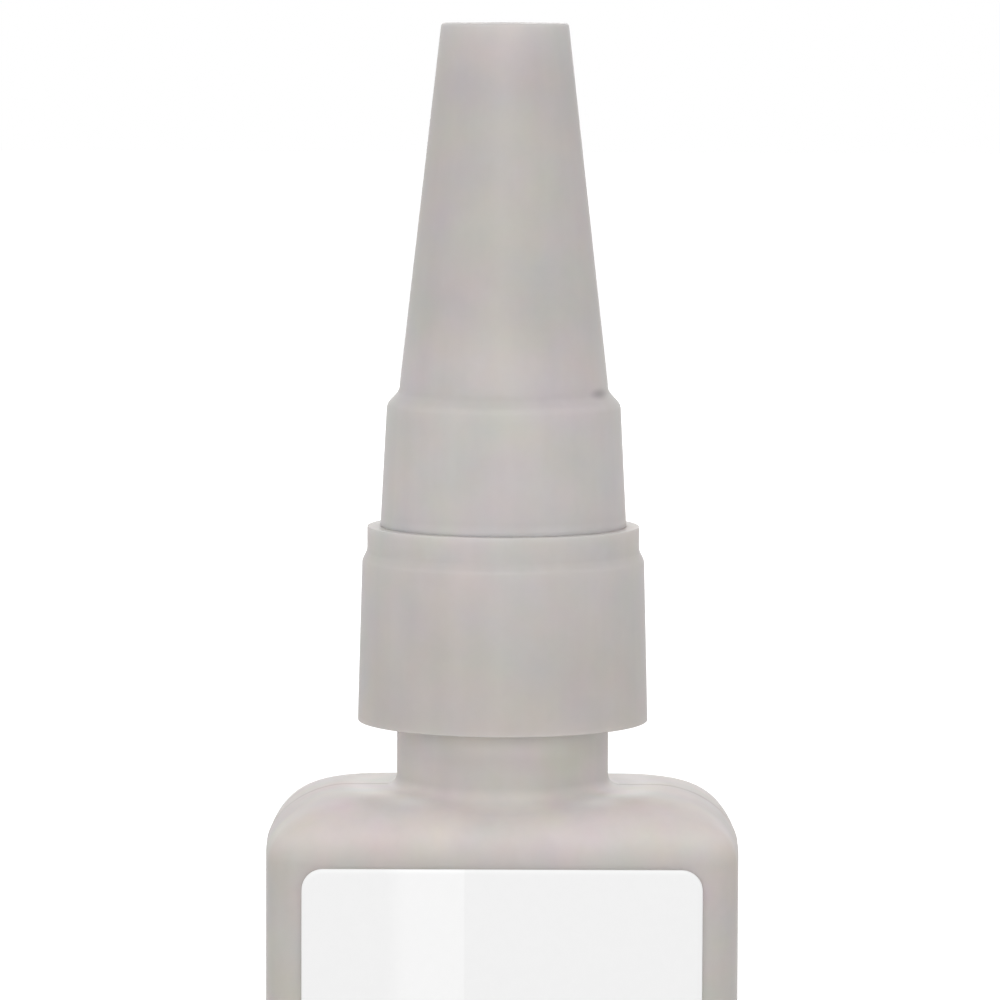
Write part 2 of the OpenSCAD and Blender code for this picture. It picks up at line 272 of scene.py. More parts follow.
side_y = np.concatenate([
    at_corner, on_long, at_corner, short_side,
    -at_corner, -on_long, -at_corner, -short_side,
])


def plan_loops(half_x, half_y, corner_r):
    """Rectangle with round corners and swollen short sides: each column's corner centre, plus the
    corner's radius in the direction that the column faces, plus a bulge that fades with the square
    of the way to the front or back. Lists of sizes give a stack of loops."""
    half_x, half_y, corner_r = (np.reshape(size, (-1, 1)) for size in (half_x, half_y, corner_r))
    x = side_x * (half_x - side_bulge - corner_r) + corner_r * np.cos(plan_turn)
    y = side_y * (half_y - corner_r) + corner_r * np.sin(plan_turn)
    x = x + np.sign(x) * side_bulge * (1 - (y / half_y) ** 2)
    return np.stack(np.broadcast_arrays(x, y), -1)


def at_levels(loops, levels):
    """Plan loops lifted to their levels: one for each loop, or one for each point."""
    levels = np.asarray(levels, float)
    levels = levels.reshape(-1, 1) if levels.ndim == 1 else levels
    return np.concatenate([loops, np.broadcast_to(levels, loops.shape[:2])[..., None]], -1)


print("bottle columns:", len(plan_turn))


# %% The foot and the shoulder
HALVINGS = 40


def foot_loops(inset, low_z, corner_r, rise):
    """Quarter circle from the base to the wall, as the rise goes from 0 to 90 degrees: the loop is
    pulled in by r (1 - sin) at a height of r (1 - cos), and its corners tighten on the way down."""
    pull = corner_r * (1 - np.sin(rise))
    side_r = (edge_r - inset) * (1 - foot_pinch * pull / corner_r)
    loops = plan_loops(skin_w - inset - pull, half_d - inset - pull, side_r)
    return at_levels(loops, low_z + corner_r * (1 - np.cos(rise)))


def shoulder_level(x, y, inset):
    """Height of the shoulder over a place in plan. Its loops draw in over the shoulder's reach while
    it rises, so the share that is done is found by halving until the place lies on its loop. The
    share still to go and the share of the rise, each to one power, add up to 1."""
    reach, rise = shoulder_w - inset, shoulder_h - inset
    side_r = edge_r - inset
    low, high = np.zeros_like(x), np.ones_like(x)
    for _ in range(HALVINGS):
        done = (low + high) / 2
        corner_r = side_r + (top_r - side_r) * done
        half_y = half_d - inset - reach * done
        swell = side_bulge * (1 - (y / half_y) ** 2)
        past_x = np.abs(x) - swell - (skin_w - side_bulge - inset - reach * done) + corner_r
        past_y = np.abs(y) - half_y + corner_r
        outside = np.hypot(np.maximum(past_x, 0), np.maximum(past_y, 0))
        outside += np.minimum(np.maximum(past_x, past_y), 0) - corner_r
        low, high = np.where(outside > 0, low, done), np.where(outside > 0, done, high)
    power = 2 / shoulder_power
    return body_h - inset - rise + rise * (1 - (1 - done) ** power) ** (1 / power)


def shoulder_loops(from_loop, to_loop, share, inset):
    """Straight lines in plan between two loops, lifted to the shoulder's height."""
    share = np.reshape(share, (-1, 1, 1))
    loops = from_loop * (1 - share) + to_loop * share
    return at_levels(loops, shoulder_level(loops[..., 0], loops[..., 1], inset))


# %% Outside of the bottle, from the base to the neck's root
quarter = np.linspace(0, math.pi / 2, 9)
recess_soft = 1.2
wall_steps = 25
hollow_shares = [0, 0.3, 0.6, 0.85]
ring_inset = foot_r + foot_ring_w
recess_share = np.linspace(0, 1, 7)
recess_inset = ring_inset + recess_soft * (1 - recess_share)
recess = at_levels(
    plan_loops(skin_w - recess_inset, half_d - recess_inset, edge_r),
    push_up_h * (1 - eased(recess_share)),
)
hollow = recess[:1] * np.reshape(hollow_shares, (-1, 1, 1))
hollow[..., 2] = push_up_h
foot = foot_loops(0, 0, foot_r, quarter)
wall_levels = np.linspace(foot_r, shoulder_z, wall_steps + 1)[1:]
wall = at_levels(plan_loops(skin_w * np.ones(wall_steps), half_d, edge_r), wall_levels)

wall_loop = wall[-1, :, :2]
neck_angle = np.arctan2(wall_loop[:, 1], wall_loop[:, 0])
neck_way = np.stack([np.cos(neck_angle), np.sin(neck_angle)], -1)
root_side_soft = 0.9
root_front_soft = 1.6
root_soft = root_side_soft + (root_front_soft - root_side_soft) * np.sin(neck_angle) ** 2
spread = 1 - np.cos(np.linspace(0, math.pi / 2, 24)[1:])
shoulder = shoulder_loops(wall_loop, neck_way * (neck_r + root_soft)[:, None], spread, 0)

root_level = shoulder_level(*(neck_way * neck_r).T, 0)
bend = np.linspace(0, 1, 8)[1:, None]
root_radius = neck_r + root_soft * (1 - bend) ** 2
root_z = shoulder[-1, :, 2] * (1 - bend) ** 2 + root_level * 2 * bend * (1 - bend)
root_z = root_z + (root_level + root_soft) * bend**2
root = at_levels(neck_way * root_radius[..., None], root_z)
outside = np.concatenate([hollow, recess, foot, wall, shoulder, root])
print("neck meets the shoulder at", round(root_level.min(), 2), "to", round(root_level.max(), 2), "mm")

# %% Neck, thread and mouth
NECK_THREAD = {"start_z": 60.4, "lead": 3.0, "turns": 2.4, "root_w": 1.5, "crest_w": 0.72}
neck_ridge_h = 1.0
plain_top = 59.3
plain_steps = 7
plain_share = np.linspace(0, 1, plain_steps + 1)[1:, None]
plain_z = root_z[-1] * (1 - plain_share) + plain_top * plain_share
plain_neck = at_levels(np.broadcast_to(neck_way * neck_r, (plain_steps, *neck_way.shape)), plain_z)
thread_z = np.arange(plain_top + THREAD_STEP, mouth_z - mouth_soft, THREAD_STEP)[:, None]
thread_radius = neck_r + neck_ridge_h * ridge_height(
    *np.broadcast_arrays(neck_angle, thread_z), **NECK_THREAD
)
threaded_neck = at_levels(neck_way * thread_radius[..., None], thread_z + 0 * neck_angle)
bore_soft = 0.15
inner_bend = shoulder_level(*(neck_way * neck_bore_r).T, wall_t).max()
mouth_outline = soft_outline([
    (neck_r, inner_bend, 0),
    (neck_r, mouth_z, mouth_soft),
    (neck_bore_r, mouth_z, bore_soft),
    (neck_bore_r, inner_bend + bore_soft, 0),
])
mouth_step = 2.0
mouth_outline = fine_steps(mouth_outline[1:], mouth_step)
mouth = at_levels(neck_way * mouth_outline[:, :1, None], mouth_outline[:, 1])
print("neck thread rises from", round(thread_radius.min(), 2), "to", round(thread_radius.max(), 2), "mm")

# %% Inside of the bottle, and the line where the mould halves meet
inner_loop = plan_loops(skin_w - wall_t, half_d - wall_t, edge_r - wall_t)[0]
inner_spread = np.sin(np.linspace(0, math.pi / 2, 16))
ceiling = shoulder_loops(neck_way * (neck_bore_r + bore_soft), inner_loop, inner_spread, wall_t)
inner_steps = 5
inner_levels = np.linspace(shoulder_z, floor_z + floor_r, inner_steps + 1)[1:]
inner_wall = at_levels(np.broadcast_to(inner_loop, (inner_steps, *inner_loop.shape)), inner_levels)
inner_foot = foot_loops(wall_t, floor_z, floor_r, quarter[::-1])[1:]
closing_shares = [0.6, 0.25, 0]
floor_pool = inner_foot[-1:] * np.reshape(closing_shares, (-1, 1, 1))
floor_pool[..., 2] = floor_z

seam_columns = np.abs(side_y) * (half_d - edge_r) < (seam_half_w + seam_foot_w) / 2
outside = np.concatenate([outside, plain_neck])
around_skin = np.roll(outside, -1, 1) - np.roll(outside, 1, 1)
up_skin = np.gradient(outside, axis=0)
facing = np.cross(around_skin, up_skin)
no_length = 1e-9
facing = facing / np.maximum(np.linalg.norm(facing, axis=-1, keepdims=True), no_length)
seam_end = 2
seam_fade = eased((outside[..., 2] - foot_r / 2) / foot_r)
seam_fade = seam_fade * eased((plain_top - outside[..., 2]) / seam_end)
outside = outside + facing * (seam_h * seam_fade * seam_columns)[..., None]

bottle_rows = np.concatenate([
    outside, threaded_neck, mouth, ceiling, inner_wall, inner_foot, floor_pool,
])
bottle = make_piece("bottle_shell", bottle_rows)
stand_for(bottle, "bottle", "bottle_body")

# %% [markdown]
# ## The nozzle
# The nozzle is one injection moulding: a smooth collar with a slight taper that screws on the neck, a
# bevel and a lip above it, a boss with the cap's thread, and the long spout that the cap hides. Its
# profile is the one the CAD model uses, with finer arcs and a softer bevel, and the two threads grow
# out of its walls.

# %% Sizes of the nozzle
collar_z = node_box("nozzle")[0][2]
collar_r, _, tip_z = node_box("nozzle")[1]
deck_z = node_box("cap")[0][2]
collar_bore_r = 8.75
band_r = 9.9
band_z = 68.7
lip_r = 9.55
lip_z = 69.4
deck_t = 1.2
ceiling_z = deck_z - deck_t
plug_r = 5.2
plug_in_r = 4.2
plug_z = 65.9
boss_r = 6.1
boss_z = 78.3
spout_foot_r = 5.185
spout_tip_r = 1.6
orifice_r = 0.6
orifice_len = 5.0
lead_in = 0.4
edge_soft = 0.3
bevel_soft = 0.9
rim_soft = 0.06
inner_soft = 0.35
small_soft = 0.1
ceiling_soft = 0.2
wall_step = 1.2
CAP_THREAD = {"lead": 6.0, "turns": 0.611, "root_w": 1.5, "crest_w": 0.72, "starts": 2}
cap_thread_z = 73.534
cap_ridge_h = 0.75
thread_drop = 1.1735
print("nozzle: collar", 2 * collar_r, "mm wide, from", collar_z, "mm; spout to", tip_z, "mm")

# %% Make the nozzle
nozzle_outline = soft_outline([
    (collar_bore_r + lead_in, collar_z, 0),
    (collar_r, collar_z, rim_soft),
    (band_r, band_z, bevel_soft),
    (lip_r, lip_z, bevel_soft),
    (lip_r, deck_z, rim_soft),
    (boss_r, deck_z, inner_soft),
    (boss_r, boss_z, edge_soft),
    (spout_foot_r, boss_z, inner_soft),
    (spout_tip_r, tip_z, edge_soft),
    (orifice_r, tip_z, small_soft),
    (orifice_r, tip_z - orifice_len, 0),
    (plug_in_r, deck_z, 0),
    (plug_in_r, plug_z, small_soft),
    (plug_r - lead_in, plug_z, small_soft),
    (plug_r, plug_z + lead_in, 0),
    (plug_r, ceiling_z, small_soft),
    (collar_bore_r, ceiling_z, ceiling_soft),
    (collar_bore_r, collar_z + lead_in, 0),
])
nozzle_outline = np.vstack([nozzle_outline, nozzle_outline[:1]])
nozzle_outline = fine_steps(nozzle_outline, wall_step, threaded=(boss_r, collar_bore_r))[:-1]
neck_partner = {**NECK_THREAD, "start_z": NECK_THREAD["start_z"] - thread_drop}
nozzle_threads = [
    {"wall_r": collar_bore_r, "depth": -neck_ridge_h, "ridge": neck_partner},
    {"wall_r": boss_r, "depth": cap_ridge_h, "ridge": {**CAP_THREAD, "start_z": cap_thread_z}},
]
nozzle = make_piece("nozzle_moulding", turned(nozzle_outline, nozzle_threads), ring=True)
stand_for(nozzle, "nozzle", "nozzle_body")

# %% [markdown]
# ## The cap
# The cap is a tall hollow cone on a flared skirt, with the second thread inside the skirt and a socket in
# its top for the pin. The skirt's bevel is softer than the CAD model's and 0.2 mm higher. Injection
# moulding leaves a small dimple with a nub where the plastic came in, and here it sits in the middle of
# the flat top, a little below it, so that the cap's height stays.

# %% Sizes of the cap
skirt_r, _, cap_z = node_box("cap")[1]
skirt_bore_r = 7.2
skirt_top_r = 8.2
skirt_z = 80.6
shelf_z = 79.7
roof_z = 79.2
cone_r = 7.35
cone_tip_r = 4.45
cap_wall_t = 1.2
cap_top_t = 1.3
cap_ceiling_z = cap_z - cap_top_t
socket_r = 1.7
socket_z = 101.8
cap_top_soft = 0.25
foot_soft = 0.02
pin_r = 0.45
pin_fit = 0.03
pin_hole_r = pin_r + pin_fit
pin_top_z = node_box("sealing_pin")[1][2]
cap_drop = 1.128
gate_r = 1.3
gate_depth = 0.3
gate_foot_soft = 0.15
gate_edge_soft = 0.12
nub_r = 0.5
nub_h = 0.16
nub_edge_soft = 0.08
nub_foot_soft = 0.06
gate_z = cap_z - gate_depth
print("cap: skirt", 2 * skirt_r, "mm wide, from", deck_z, "to", cap_z, "mm")

# %% Make the cap
cap_outline = soft_outline([
    (0, gate_z + nub_h, 0),
    (nub_r, gate_z + nub_h, nub_edge_soft),
    (nub_r, gate_z, nub_foot_soft),
    (gate_r, gate_z, gate_foot_soft),
    (gate_r, cap_z, gate_edge_soft),
    (cone_tip_r, cap_z, cap_top_soft),
    (cone_r, skirt_z, bevel_soft),
    (skirt_top_r, shelf_z, bevel_soft),
    (skirt_r, deck_z, foot_soft),
    (skirt_bore_r + lead_in, deck_z, 0),
    (skirt_bore_r, deck_z + lead_in, 0),
    (skirt_bore_r, roof_z, 0),
    (cone_r - cap_wall_t, skirt_z, 0),
    (cone_tip_r - cap_wall_t, cap_ceiling_z, inner_soft),
    (socket_r, cap_ceiling_z, inner_soft),
    (socket_r, socket_z, edge_soft),
    (pin_hole_r, socket_z, 0),
    (pin_hole_r, pin_top_z, 0),
    (0, pin_top_z, 0),
])
cap_outline = fine_steps(cap_outline, wall_step, threaded=(skirt_bore_r,))
cap_partner = {**CAP_THREAD, "start_z": cap_thread_z - cap_drop}
cap_threads = [{"wall_r": skirt_bore_r, "depth": -cap_ridge_h, "ridge": cap_partner}]
cap = make_piece("cone_cap", turned(cap_outline, cap_threads))
stand_for(cap, "cap", "cap_body")

# %% [markdown]
# ## The seals
# A soft ring keeps glue from creeping out over the bottle's mouth, and a thin steel pin in the cap keeps
# the spout's hole open. Both are turned profiles. The ring's edges bulge a little, as a washer punched
# from foam does, and the pin has a bevelled point.

# %% Make the gasket and the pin
gasket_low, gasket_high = node_box("neck_gasket")
plug_clearance = 0.15
gasket_soft = 0.2
gasket_in_r = plug_r + plug_clearance
gasket_outline = soft_outline([
    (gasket_in_r, gasket_low[2], gasket_soft),
    (gasket_high[0], gasket_low[2], gasket_soft),
    (gasket_high[0], gasket_high[2], gasket_soft),
    (gasket_in_r, gasket_high[2], gasket_soft),
])
gasket = make_piece("mouth_gasket", turned(gasket_outline), ring=True)
stand_for(gasket, "neck_gasket", "gasket_body")

pin_low = node_box("sealing_pin")[0][2]
point_share = 0.4
point_h = 0.5
point_soft = 0.06
bevel_edge_soft = 0.2
pin_end_soft = 0.05
pin_step = 0.8
pin_outline = soft_outline([
    (0, pin_low, 0),
    (point_share * pin_r, pin_low, point_soft),
    (pin_r, pin_low + point_h, bevel_edge_soft),
    (pin_r, pin_top_z, pin_end_soft),
    (0, pin_top_z, 0),
])
pin = make_piece("spout_pin", turned(fine_steps(pin_outline, pin_step)))
stand_for(pin, "sealing_pin", "pin_body")

# %% [markdown]
# ## The glue
# The glue fills nearly two thirds of the bottle. Its surface climbs a little where it wets the wall, so
# the top is a shallow dish: a flat lid would look like a block when one peers down the open neck.

# %% Make the glue
fill_gap = 0.1
fill_inset = wall_t + fill_gap
fill_z = node_box("adhesive_fill")[1][2]
dish_depth = 0.7
dish_w = 1.6
fill_foot = foot_loops(fill_inset, floor_z + fill_gap, floor_r, quarter)
start_shares = [0, 0.3, 0.7]
fill_start = fill_foot[:1] * np.reshape(start_shares, (-1, 1, 1))
fill_start[..., 2] = floor_z + fill_gap
dish_share = np.linspace(0, 1, 8)
dish_inset = fill_inset + dish_w * dish_share
dish = at_levels(
    plan_loops(skin_w - dish_inset, half_d - dish_inset, edge_r - fill_inset),
    fill_z - dish_depth * (1 - (1 - dish_share) ** 2),
)
dish_middle = dish[-1:] * np.reshape(closing_shares, (-1, 1, 1))
dish_middle[..., 2] = fill_z - dish_depth
glue = make_piece("glue_fill", np.concatenate([fill_start, fill_foot, dish, dish_middle]))
stand_for(glue, "adhesive_fill", "bottle_body")

# %% [markdown]
# ## The labels
# Each label is a sheet of white film with round corners, stuck on a flat face. A plain rectangle with a
# picture would do from the front. This one is a thin sheet with a real cut edge, so that its outline
# still reads where the light grazes it, and the print comes later from its material.

# %% Make the labels
film_soft = 0.05
edge_share = 0.3
middle_gap = 1
least_corner_r = 0.2
label_corner_r = 1.45
corner_sweep = np.linspace(0, math.pi / 2, 12)
label_turn = np.concatenate([corner_sweep + k * math.pi / 2 for k in range(4)])
label_side_x = np.repeat([1, -1, -1, 1], len(corner_sweep))
label_side_z = np.repeat([1, 1, -1, -1], len(corner_sweep))


def label_rows(node, front):
    """Sheet as loops of a rectangle with round corners: from its middle to its edge on the outer face,
    round the cut edge, and back to the middle on the inner face. Front is -1 or 1 along y."""
    low, high = node_box(node)
    middle_z = (low[2] + high[2]) / 2
    half_x, half_z = high[0], (high[2] - low[2]) / 2
    outer_y, inner_y = (low[1], high[1]) if front < 0 else (high[1], low[1])
    film_t = abs(outer_y - inner_y)
    edge_in = edge_share * film_soft
    innermost = half_z - middle_gap
    inward = np.array([innermost, 8, 4, 1.5, 0.4, film_soft, edge_in, 0, 0, 4, innermost])
    depth = np.array([0, 0, 0, 0, 0, 0, edge_in, film_soft, film_t, film_t, film_t])
    inward = np.minimum(inward, half_x - middle_gap)[:, None]
    corner_r = np.maximum(label_corner_r - inward, least_corner_r)
    x = label_side_x * (half_x - inward - corner_r) + corner_r * np.cos(label_turn)
    z = label_side_z * (half_z - inward - corner_r) + corner_r * np.sin(label_turn)
    y = np.broadcast_to(outer_y - front * depth[:, None], x.shape)
    sheet = np.stack([x, y, z + middle_z], -1)
    ends = np.array([[0, outer_y, middle_z], [0, inner_y, middle_z]])
    ends = np.broadcast_to(ends[:, None], (2, sheet.shape[1], 3))
    return np.concatenate([ends[:1], sheet, ends[1:]])


front_label = make_piece("front_label_film", label_rows("front_label", -1))
stand_for(front_label, "front_label", "bottle_body")
back_label = make_piece("back_label_film", label_rows("back_label", 1))
stand_for(back_label, "back_label", "bottle_body")

# %% [markdown]
# ## Milky plastic
# Polyethylene looks milky because light wanders inside it before it comes out. Its colour isn't one
# flat grey: thicker and thinner patches show as soft clouds with a breath of pink and green, and the melt
# leaves faint streaks along the axis. One node group works out that tone, the change of gloss that goes
# with it, and the fine peel of the surface. The bottle, the nozzle and the cap each place the group with
# their own values.
#
# Light also passes through a real wall from behind. The shader scatters it only close to the surface, so
# each piece's tone also carries painted light and shade, set by its place on the piece. On the bottle, the
# sloping part of the shoulder and the root of the neck are lighter and the shoulder's ends darker, as
# painted light and shade; the neck is lighter at its sides and just under the collar, painted light that
# there fills the collar's shadow; and the wall is a little darker where the glue stands behind it. The
# nozzle is lighter towards its lip, and the cap lighter at its top, towards its skirt and at the skirt's
# foot, all painted light. The cap is also darker in one small spot at the foot of its cone.


# %% Node tools
def ink(red, green, blue):
    """Colour given as 0 to 255 on screen, as Blender's linear values: about the share to the power 2.2."""
    share = np.array([red, green, blue]) / 255
    linear = np.where(share <= 0.04045, share / 12.92, ((share + 0.055) / 1.055) ** 2.4)
    return (*linear.tolist(), 1.0)


def add(tree, kind, values=None, **settings):
    """A new node with its settings, and the values of its inputs by name or number."""
    made = tree.nodes.new(kind)
    for name, value in settings.items():
        setattr(made, name, value)
    for socket, value in (values or {}).items():
        made.inputs[socket].default_value = value
    return made


def reckon(tree, operation, first, second):
    """A sum of two, each a plain number or another node's output."""
    made = add(tree, "ShaderNodeMath", operation=operation)
    for socket, given in zip(made.inputs, (first, second)):
        if isinstance(given, (int, float)):
            socket.default_value = given
        else:
            tree.links.new(given, socket)
    return made.outputs[0]


def object_noise(tree, scale, stretch=(1, 1, 1), detail=2.0, colours=False):
    """Noise over the piece's own coordinates, about 0, stretched where a scale is below 1. It is one
    value, or three that vary on their own."""
    place = add(tree, "ShaderNodeTexCoord")
    mapping = add(tree, "ShaderNodeMapping", {"Scale": stretch})
    noise = add(tree, "ShaderNodeTexNoise", {"Scale": scale, "Detail": detail})
    tree.links.new(place.outputs["Object"], mapping.inputs["Vector"])
    tree.links.new(mapping.outputs["Vector"], noise.inputs["Vector"])
    if not colours:
        return reckon(tree, "SUBTRACT", noise.outputs["Fac"], 0.5)
    centred = add(tree, "ShaderNodeVectorMath", {1: (0.5, 0.5, 0.5)}, operation="SUBTRACT")
    tree.links.new(noise.outputs["Color"], centred.inputs[0])
    return centred.outputs[0]


def new_group(name, inputs, outputs):
    """Empty node group with named sockets, given as name and kind."""
    group = bpy.data.node_groups.new(name, "ShaderNodeTree")
    for name, kind in inputs:
        group.interface.new_socket(name, in_out="INPUT", socket_type=kind)
    for name, kind in outputs:
        group.interface.new_socket(name, in_out="OUTPUT", socket_type=kind)
    return group, group.nodes.new("NodeGroupInput"), group.nodes.new("NodeGroupOutput")


# %% The milky tone, as a node group
milky, milky_in, milky_out = new_group(
    "milky_tone",
    [("Tone", "NodeSocketColor"), ("Mottle", "NodeSocketFloat"), ("Tint", "NodeSocketFloat"),
     ("Roughness", "NodeSocketFloat")],
    [("Color", "NodeSocketColor"), ("Roughness", "NodeSocketFloat"), ("Height", "NodeSocketFloat")],
)
STREAK_SHARE = 0.5
HAZE_SHARE = 0.3
GLOSS_CHANGE = 0.16
CLOUD_HEIGHT = 2.0
PEEL_HEIGHT = 0.25
clouds = object_noise(milky, 130)
streaks = object_noise(milky, 700, stretch=(1, 1, 0.04))
haze = object_noise(milky, 1500)
peel = object_noise(milky, 2600, detail=3)
mixed = reckon(milky, "ADD", clouds, reckon(milky, "MULTIPLY", streaks, STREAK_SHARE))
mixed = reckon(milky, "ADD", mixed, reckon(milky, "MULTIPLY", haze, HAZE_SHARE))
bright = reckon(milky, "ADD", reckon(milky, "MULTIPLY", mixed, milky_in.outputs["Mottle"]), 1.0)
toned = add(milky, "ShaderNodeVectorMath", operation="SCALE")
milky.links.new(milky_in.outputs["Tone"], toned.inputs[0])
milky.links.new(bright, toned.inputs["Scale"])
tint = add(milky, "ShaderNodeVectorMath", operation="SCALE")
milky.links.new(object_noise(milky, 260, colours=True), tint.inputs[0])
milky.links.new(milky_in.outputs["Tint"], tint.inputs["Scale"])
tinted = add(milky, "ShaderNodeVectorMath", operation="MULTIPLY_ADD")
milky.links.new(toned.outputs[0], tinted.inputs[0])
milky.links.new(tint.outputs[0], tinted.inputs[1])
milky.links.new(toned.outputs[0], tinted.inputs[2])
milky.links.new(tinted.outputs[0], milky_out.inputs["Color"])
gloss = reckon(milky, "ADD", clouds, haze)
gloss = reckon(milky, "MULTIPLY", gloss, GLOSS_CHANGE)
gloss = reckon(milky, "ADD", gloss, milky_in.outputs["Roughness"])
milky.links.new(gloss, milky_out.inputs["Roughness"])
cloud_height = reckon(milky, "MULTIPLY", clouds, CLOUD_HEIGHT)
height = reckon(milky, "ADD", cloud_height, reckon(milky, "MULTIPLY", peel, PEEL_HEIGHT))
milky.links.new(height, milky_out.inputs["Height"])
print("group", milky.name, "has", len(milky.nodes), "nodes")


# %% Materials of milky plastic
def new_material(name, **shader_values):
    """Material with one Principled shader, and the shader's plain values by socket name."""
    material = bpy.data.materials.new(name)
    material.use_nodes = True
    shader = material.node_tree.nodes["Principled BSDF"]
    for socket, value in shader_values.items():
        shader.inputs[socket.replace("_", " ")].default_value = value
    return material, material.node_tree, shader


def feed_bump(tree, height, shader, distance):
    """Heights, in shares of a distance in millimetres, bent into the shader's normal."""
    bump = add(tree, "ShaderNodeBump", {"Strength": 1.0, "Distance": distance * MM})
    tree.links.new(height, bump.inputs["Height"])
    tree.links.new(bump.outputs["Normal"], shader.inputs["Normal"])


def height_share(tree, low, high):
    """How far a point lies from a low level to a high one, from 0 to 1, in millimetres up the bottle."""
    place = add(tree, "ShaderNodeTexCoord")
    parts = add(tree, "ShaderNodeSeparateXYZ")
    span = {"From Min": low * MM, "From Max": high * MM}
    ramp = add(tree, "ShaderNodeMapRange", span, interpolation_type="SMOOTHSTEP")
    tree.links.new(place.outputs["Object"], parts.inputs[0])
    tree.links.new(parts.outputs["Z"], ramp.inputs["Value"])
    return ramp.outputs["Result"]


def axis_share(tree, full, none, along=(1, 1, 0)):
    """1 at one distance from the bottle's axis and 0 at another, in millimetres, measured along the
    directions that are given as 1."""
    place = add(tree, "ShaderNodeTexCoord")
    flat = add(tree, "ShaderNodeMapping", {"Scale": along})
    length = add(tree, "ShaderNodeVectorMath", operation="LENGTH")
    span = {"From Min": none * MM, "From Max": full * MM}
    ramp = add(tree, "ShaderNodeMapRange", span, interpolation_type="SMOOTHSTEP")
    tree.links.new(place.outputs["Object"], flat.inputs["Vector"])
    tree.links.new(flat.outputs["Vector"], length.inputs[0])
    tree.links.new(length.outputs["Value"], ramp.inputs["Value"])
    return ramp.outputs["Result"]


def spot_share(tree, centre, reach):
    """1 at the middle of a spot, falling to 0 at the ellipsoid with that reach on x, y and z, all in
    millimetres."""
    place = add(tree, "ShaderNodeTexCoord")
    reach = np.array(reach)
    shrink = {"Location": tuple(-np.array(centre) / reach), "Scale": tuple(1 / (reach * MM))}
    local = add(tree, "ShaderNodeMapping", shrink)
    length = add(tree, "ShaderNodeVectorMath", operation="LENGTH")
    span = {"From Min": 1.0, "From Max": 0.0}
    ramp = add(tree, "ShaderNodeMapRange", span, interpolation_type="SMOOTHSTEP")
    tree.links.new(place.outputs["Object"], local.inputs["Vector"])
    tree.links.new(local.outputs["Vector"], length.inputs[0])
    tree.links.new(length.outputs["Value"], ramp.inputs["Value"])
    return ramp.outputs["Result"]


def blend_tones(tree, share, first, second):
    """Two tones mixed by a share that changes over the surface."""
    mix = add(tree, "ShaderNodeMix", data_type="RGBA")
    colours = [socket for socket in mix.inputs if socket.type == "RGBA"]
    tree.links.new(share, mix.inputs[0])
    for socket, tone in zip(colours, (first, second)):
        if isinstance(tone, tuple):
            socket.default_value = tone
        else:
            tree.links.new(tone, socket)
    return [socket for socket in mix.outputs if socket.type == "RGBA"][0]


MILKY = {
    "Subsurface_Weight": 0.6,
    "Subsurface_Radius": (1.0, 0.92, 0.84),
    "Subsurface_Scale": 0.002,
    "Specular_IOR_Level": 0.3,
}


def milky_plastic(name, mottle, tint, roughness):
    """Milky plastic without its tone yet: the group feeds colour, gloss and peel to the shader."""
    material, tree, shader = new_material(name, **MILKY)
    tone = add(tree, "ShaderNodeGroup", {}, node_tree=milky)
    tone.inputs["Mottle"].default_value = mottle
    tone.inputs["Tint"].default_value = tint
    tone.inputs["Roughness"].default_value = roughness
    tree.links.new(tone.outputs["Color"], shader.inputs["Base Color"])
    tree.links.new(tone.outputs["Roughness"], shader.inputs["Roughness"])
    feed_bump(tree, tone.outputs["Height"], shader, 0.007)
    return material, tree, tone.inputs["Tone"]


# %% Tones of the bottle
ACROSS = (1, 0, 0)
DEEP = (0, 1, 0)
bottle_plastic, tree, tone = milky_plastic("bottle_plastic", mottle=0.14, tint=0.15, roughness=0.52)
filled = height_share(tree, fill_z + 0.4, fill_z - 0.8)
wall_tone = blend_tones(tree, filled, ink(193, 187, 183), ink(186, 182, 176))
# Painted light: the sloping part of the shoulder is lighter, as where light from above falls on it.
painted_slope_light = height_share(tree, shoulder_z, shoulder_z + 2.2)
shoulder_tone = blend_tones(tree, painted_slope_light, wall_tone, ink(220, 211, 207))
# Painted shade: the shoulder is darker towards its ends, left and right, on its sloping part.
painted_end_shade = axis_share(tree, full=14.5, none=9.0, along=ACROSS)
painted_end_shade = reckon(tree, "MULTIPLY", painted_end_shade, axis_share(tree, full=4.5, none=8.5, along=DEEP))
painted_end_shade = reckon(tree, "MULTIPLY", painted_end_shade, painted_slope_light)
shoulder_tone = blend_tones(tree, painted_end_shade, shoulder_tone, ink(198, 191, 188))
# Painted light: the root of the neck is lighter, filling the shade in the crease where the neck meets the
# shoulder.
painted_root_light = axis_share(tree, full=9.6, none=12.0)
painted_root_light = reckon(tree, "MULTIPLY", painted_root_light, height_share(tree, body_h - 0.7, body_h - 0.2))
# Painted light: the sides of the neck and of its root are lighter than their front and back.
painted_neck_side_light = axis_share(tree, full=7.0, none=3.5, along=ACROSS)
root_tone = blend_tones(tree, painted_neck_side_light, ink(217, 210, 206), ink(243, 235, 231))
shoulder_tone = blend_tones(tree, painted_root_light, shoulder_tone, root_tone)
neck_tone = blend_tones(tree, painted_neck_side_light, ink(198, 193, 189), ink(208, 203, 199))
neck_share = height_share(tree, body_h - 0.1, body_h + 0.8)
neck_tone = blend_tones(tree, neck_share, shoulder_tone, neck_tone)
# Painted light: the neck is lighter just under the collar, filling the collar's shadow.
painted_light_under_collar = height_share(tree, collar_z - 2.2, collar_z - 0.1)
tree.links.new(blend_tones(tree, painted_light_under_collar, neck_tone, ink(228, 223, 219)), tone)
bottle.data.materials.append(bottle_plastic)
print("bottle's finish has", len(bottle_plastic.node_tree.nodes), "nodes")

